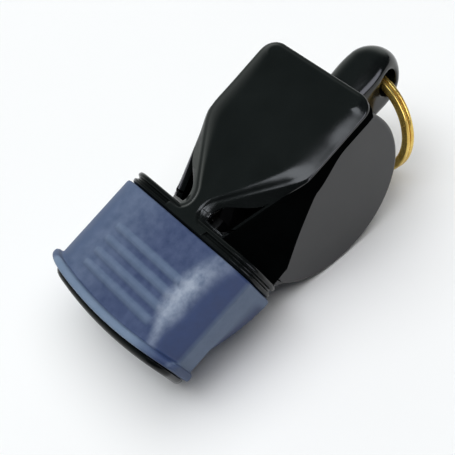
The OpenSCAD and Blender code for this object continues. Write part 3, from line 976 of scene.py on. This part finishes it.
class WHISTLE_OT_lug(WhistleOperator, bpy.types.Operator):
    """Add the lug with its ring hole"""
    bl_idname = "whistle.lug"
    bl_label = "Lug"

    def execute(self, context):
        scene = context.scene
        barrel = scene.whistle_barrel
        bm = bmesh.new()
        loft(bm, [self.ring_row(barrel, *step) for step in self.profile(barrel)])
        tidy_faces(bm)
        piece = make_piece("ring_lug", bm, WHISTLE_BODY, "gloss_body", level_matrix(barrel),
                           gloss_material(scene.whistle_finishes))
        keep_flats(piece)
        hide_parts("barrel_shell")
        return {"FINISHED"}

    def profile(self, barrel):
        """Rows from one rim of the hole over the lug's back to the other: rim growth, share out and side."""
        half = barrel.lug_w / 2
        rim = barrel.hole_rim
        near = [(rim * (1 - math.cos(angle)), 0.0, half - rim * (1 - math.sin(angle)))
                for angle in quarter_turn(4)[:-1]]
        power = 2 / barrel.lug_fullness
        steps = 20
        over = []
        for step in range(steps + 1):
            angle = math.pi * step / steps
            share = math.sin(angle) ** power if 0 < step < steps else 0.0
            side = math.copysign(abs(math.cos(angle)) ** power, math.cos(angle))
            over.append((rim, share, half * side))
        return near + over + [(grow, share, -side) for grow, share, side in reversed(near)]

    def ring_row(self, barrel, grow, share, side):
        """A closed row round the hole, part of the way from the hole's rim to the lug's outline."""
        root_x = barrel.axis_x + barrel.radius - 4.0 * MM
        corner = 0.7
        thinning = 0.45
        count = 64
        places = []
        for index in range(count):
            angle = 2 * math.pi * index / count
            aim = Vector((math.cos(angle), math.sin(angle)))
            outer = aim * barrel.lug_r
            if aim.x < 0:
                outer.x = (root_x - barrel.lug_x) * min(1.0, -aim.x / corner)
                outer.y = math.copysign(barrel.lug_r * min(1.0, abs(aim.y) / corner), aim.y)
            spot = (aim * (barrel.hole_r + grow)).lerp(outer, share)
            ahead = max(0.0, spot.x + barrel.lug_taper) / (barrel.lug_r + barrel.lug_taper)
            places.append(Vector((barrel.lug_x + spot.x, side * (1 - thinning * ahead ** 2),
                                  spot.y - barrel.lug_depth)))
        return places


class WHISTLE_OT_core(WhistleOperator, bpy.types.Operator):
    """Give the inner core its finish"""
    bl_idname = "whistle.core"
    bl_label = "Chamber core"

    def execute(self, context):
        core = frame["nodes"]["chamber_core"]
        finish = core_material(context.scene.whistle_finishes)
        for slot in core.material_slots:
            slot.material = finish
        return {"FINISHED"}


class WHISTLE_OT_grip(WhistleOperator, bpy.types.Operator):
    """Add the rubber sleeve with its front lip and ribs"""
    bl_idname = "whistle.grip"
    bl_label = "Mouth grip"

    def execute(self, context):
        scene = context.scene
        grip = scene.whistle_grip
        mouth = scene.whistle_mouth
        bm = bmesh.new()
        layers = [bm.verts.layers.float.new(name) for name in ("light", "wear_and_painted_sheen")]
        loft(bm, [self.section(grip, mouth, *station) for station in self.stations(grip, mouth)])
        bmesh.ops.recalc_face_normals(bm, faces=bm.faces)
        self.rub(bm, grip, mouth, *layers)
        piece = make_piece("mouth_sleeve", bm, WHISTLE_BODY, "grip", level_matrix(scene.whistle_barrel),
                           rubber_material(scene.whistle_finishes))
        keep_flats(piece)
        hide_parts("mouth_grip")
        return {"FINISHED"}

    def stations(self, grip, mouth):
        """Rows of the skin: place along the whistle, growth, share of the bow and whether it is inside."""
        gap = 0.05 * MM
        front = mouth.bead_len + gap
        rear = mouth.length - gap
        edge = grip.lip_edge
        rear_edge = 2 * edge
        proud = grip.lip_proud
        foot = 0.35 * MM
        lip_end = front + grip.lip_t
        turn = [(math.sin(angle), math.cos(angle)) for angle in quarter_turn(4)]
        outer = [(front + edge * (1 - cos), proud - edge * (1 - sin)) for sin, cos in turn]
        outer += [(lip_end - rear_edge * (1 - sin), proud - rear_edge * (1 - cos)) for sin, cos in turn]
        outer += [(lip_end, foot), (lip_end + 0.1 * MM, 0.4 * foot), (lip_end + 0.22 * MM, 0.12 * foot),
                  (lip_end + foot, 0.0)]
        rows = [(front, 0.0, 1.0, True)] + [(x, grow, 1.0, False) for x, grow in outer]
        start = lip_end + foot
        rear_round = 0.4 * MM
        steps = 78
        for step in range(1, steps + 1):
            share = step / steps
            rows.append((start + (rear - rear_round - start) * share, 0.0, 1.0 - share, False))
        rows += [(rear - 0.12 * MM, -0.1 * MM, 0.0, False), (rear, -rear_round, 0.0, False),
                 (rear, 0.0, 0.0, True)]
        return rows

    def section(self, grip, mouth, x, grow, bow, inner):
        """One row across the sleeve."""
        side_slope = 0.85
        slope = 0.0 if inner else side_slope * bow
        limit = grip.width / 2 + 0.6 * grow
        places = []
        for spot in self.ring_outline(grip, mouth, grow, inner):
            spot = tucked(spot, limit, slope)
            back = mouth.bow * (spot.x / (mouth.bead_w / 2)) ** 2
            place = Vector((x + back * bow, spot.x, spot.y - mouth.depth))
            if not inner:
                place.z += math.copysign(self.rib_height(grip, place), spot.y)
            places.append(place)
        return places

    def rib_height(self, grip, place):
        """How far the low round ribs stand over the sleeve at a place."""
        half = grip.rib_len / 2
        fade_run = 1.1 * MM
        height = 0.0
        for index in range(grip.rib_count):
            away = abs(place.x - grip.rib_x - index * grip.rib_pitch) / (grip.rib_w / 2)
            if away < 1.0:
                height += grip.rib_h * math.cos(math.pi / 2 * away) ** 2
        return height * (1 - smoothstep(half - fade_run, half, abs(place.y)))

    def ring_outline(self, grip, mouth, grow, inner):
        """Closed outline of the sleeve, or of the tube inside it, with as many points."""
        flat_steps = 20
        arc_steps = 14
        if inner:
            side = mouth.tube_w / 2
            turn_r = 2.0 * MM
            corner = Vector((side - turn_r, mouth.tube_h / 2 - turn_r))
            turn = math.pi / 2
        else:
            side = grip.width / 2 + grow
            turn_r = grip.side_r + grow
            corner = Vector((grip.flat_w / 2, grip.height / 2 - grip.side_r))
            short = math.radians(2.5)
            turn = math.asin((grip.width / 2 - corner.x + grow) / turn_r) - short
        top = [Vector((corner.x * n / flat_steps, corner.y + turn_r)) for n in range(flat_steps)]
        for step in range(arc_steps + 1):
            angle = turn * step / arc_steps
            top.append(corner + turn_r * Vector((math.sin(angle), math.cos(angle))))
        top += [Vector((side, top[-1].y - 0.4 * MM)), Vector((side, 0.0))]
        half = top + [Vector((spot.x, -spot.y)) for spot in reversed(top[:-1])]
        return half + [Vector((-spot.x, spot.y)) for spot in reversed(half[1:-1])]

    def rub(self, bm, grip, mouth, light, wear_and_painted_sheen):
        """Marks the lighter places, with painted light on the upright side strips and the +Y side and painted
        shade at the lip's -Y end, and the streak that is partly rubbed white and partly a painted highlight along
        one edge.
        """
        lip_end = mouth.bead_len + grip.lip_t + 2.0 * MM
        lip_foot = 0.1 * MM
        lip_top = 0.45 * MM
        lip_wear = 0.08
        rib_light = 0.5
        strip_light = 0.6
        lit_side_light = 0.3
        for vert in bm.verts:
            x, y, z = vert.co
            high = abs(z + mouth.depth) - grip.height / 2
            out = abs(y) - grip.width / 2
            proud = max(high, out)
            if x < lip_end and proud > lip_foot:
                # painted shade: the proud lip gets darker towards its -Y end
                shade = 1 - 0.8 * smoothstep(7.0 * MM, 12.0 * MM, -y)
                vert[light] = smoothstep(lip_foot, lip_top, proud) * shade
                vert[wear_and_painted_sheen] = lip_wear * shade
                continue
            rib = rib_light * smoothstep(0.0, 0.55 * grip.rib_h, high)
            # painted reflection: the upright side strips are lighter, standing in for the white floor mirrored in
            # them
            strip = strip_light * smoothstep(-0.3 * MM, -0.05 * MM, out)
            # the streak lightens and whitens: partly rubbing, partly a painted highlight
            streak = self.streak(grip, x, y)
            # a faint whitening, stronger towards +Y and fading out towards the sides
            whitening = 0.06 + 0.05 * smoothstep(-2.0 * MM, 8.0 * MM, y)
            whitening *= 1 - smoothstep(8.0 * MM, 11.0 * MM, abs(y))
            # painted light: the sleeve gets lighter towards its +Y side
            pale = lit_side_light * smoothstep(-1.0 * MM, 9.0 * MM, y)
            vert[light] = max(rib, strip, pale, 0.8 * streak)
            vert[wear_and_painted_sheen] = max(whitening, streak, 0.15 * strip)

    def streak(self, grip, x, y):
        """How strong the curved streak is at a place: partly rubbed white and partly a painted highlight. It is
        strong on one side and faint on the other.
        """
        half_len = 10.0 * MM
        bend = 3.0 * MM
        away = abs(x - grip.streak_x) / half_len
        middle = grip.streak_y + bend * away ** 2
        spread = 0.7 * MM + 0.9 * MM * smoothstep(3.5 * MM, 9.0 * MM, x)
        near = 1 - smoothstep(0.1 * spread, 1.8 * spread, abs(abs(y) - middle))
        fading = 1 - 0.6 * smoothstep(0.15, 0.65, away)
        # the strong -Y side holds the painted highlight
        strong = 0.7
        faint = 0.1
        return near * (strong * fading if y < 0 else faint)


class WHISTLE_OT_ring(WhistleOperator, bpy.types.Operator):
    """Add the split ring, wound from one flattened wire in two turns"""
    bl_idname = "whistle.ring"
    bl_label = "Split ring"

    split_turn = math.radians(24)

    def execute(self, context):
        ring = context.scene.whistle_ring
        loop = RECORD_MOUNTS["ring_loop"]
        centre = Vector(loop["pos_m"])
        axis = Vector(loop["axis"]).normalized()
        down = (centre - Vector(HINGE["pos_m"])).normalized()
        place = Matrix((down, axis.cross(down), axis)).transposed().to_4x4()
        place.translation = centre
        bm = bmesh.new()
        total = 4 * math.pi - 2 * self.split_turn
        steps = 180
        loft(bm, [self.section(ring, self.split_turn + total * n / steps) for n in range(steps + 1)],
             joined=False)
        tidy_faces(bm)
        rims = [edge for face in bm.faces if len(face.verts) > 4 for edge in face.edges]
        round_edges(bm, rims, radius=0.08 * MM, segments=2)
        piece = make_piece("split_ring_wire", bm, RING_BODY, "ring", place,
                           brass_material(context.scene.whistle_finishes))
        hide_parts("split_ring")
        return {"FINISHED"}

    def section(self, ring, angle):
        """The wire's outline at one place along its two turns."""
        jog = smoothstep(2 * math.pi - self.split_turn, 2 * math.pi + self.split_turn, angle)
        shift = ring.turn_pitch * (jog - 0.5)
        places = []
        for spot in rounded_rect(ring.wire_w, ring.wire_t, ring.wire_round, segments=3, flat_steps=1):
            radius = ring.mean_r + spot.x
            places.append(Vector((radius * math.cos(angle), radius * math.sin(angle), shift + spot.y)))
        return places


class WHISTLE_PT_panel(bpy.types.Panel):
    """Lists the whistle's pieces and finishes"""
    bl_label = "Sports Whistle"
    bl_idname = "WHISTLE_PT_panel"
    bl_space_type = "VIEW_3D"
    bl_region_type = "UI"
    bl_category = "Whistle"

    def draw(self, context):
        layout = self.layout
        for operator in OPERATORS:
            layout.operator(operator.bl_idname)
        for attribute, group in SETTINGS.items():
            box = layout.box()
            box.label(text=group.__doc__)
            settings = getattr(context.scene, attribute)
            for name in group.__annotations__:
                box.prop(settings, name)


SETTINGS = {
    "whistle_plate": WhistlePlateSizes,
    "whistle_barrel": WhistleBarrelSizes,
    "whistle_mouth": WhistleMouthSizes,
    "whistle_grip": WhistleGripSizes,
    "whistle_ring": WhistleRingSizes,
    "whistle_finishes": WhistleFinishes,
}
OPERATORS = [WHISTLE_OT_stage, WHISTLE_OT_top_cover, WHISTLE_OT_mouthpiece, WHISTLE_OT_barrel,
             WHISTLE_OT_lug, WHISTLE_OT_core, WHISTLE_OT_grip, WHISTLE_OT_ring]


def register():
    """Adds the settings, the operators and the panel."""
    for attribute, group in SETTINGS.items():
        bpy.utils.register_class(group)
        setattr(bpy.types.Scene, attribute, PointerProperty(type=group))
    for operator in OPERATORS:
        bpy.utils.register_class(operator)
    bpy.utils.register_class(WHISTLE_PT_panel)


def unregister():
    """Takes away what register added."""
    bpy.utils.unregister_class(WHISTLE_PT_panel)
    for operator in reversed(OPERATORS):
        bpy.utils.unregister_class(operator)
    for attribute, group in reversed(SETTINGS.items()):
        delattr(bpy.types.Scene, attribute)
        bpy.utils.unregister_class(group)


def main():
    """Builds the stage and all pieces."""
    register()
    bpy.ops.whistle.stage()
    bpy.ops.whistle.top_cover()
    bpy.ops.whistle.mouthpiece()
    bpy.ops.whistle.barrel()
    bpy.ops.whistle.lug()
    bpy.ops.whistle.core()
    bpy.ops.whistle.grip()
    bpy.ops.whistle.ring()


if __name__ == "__main__":
    main()
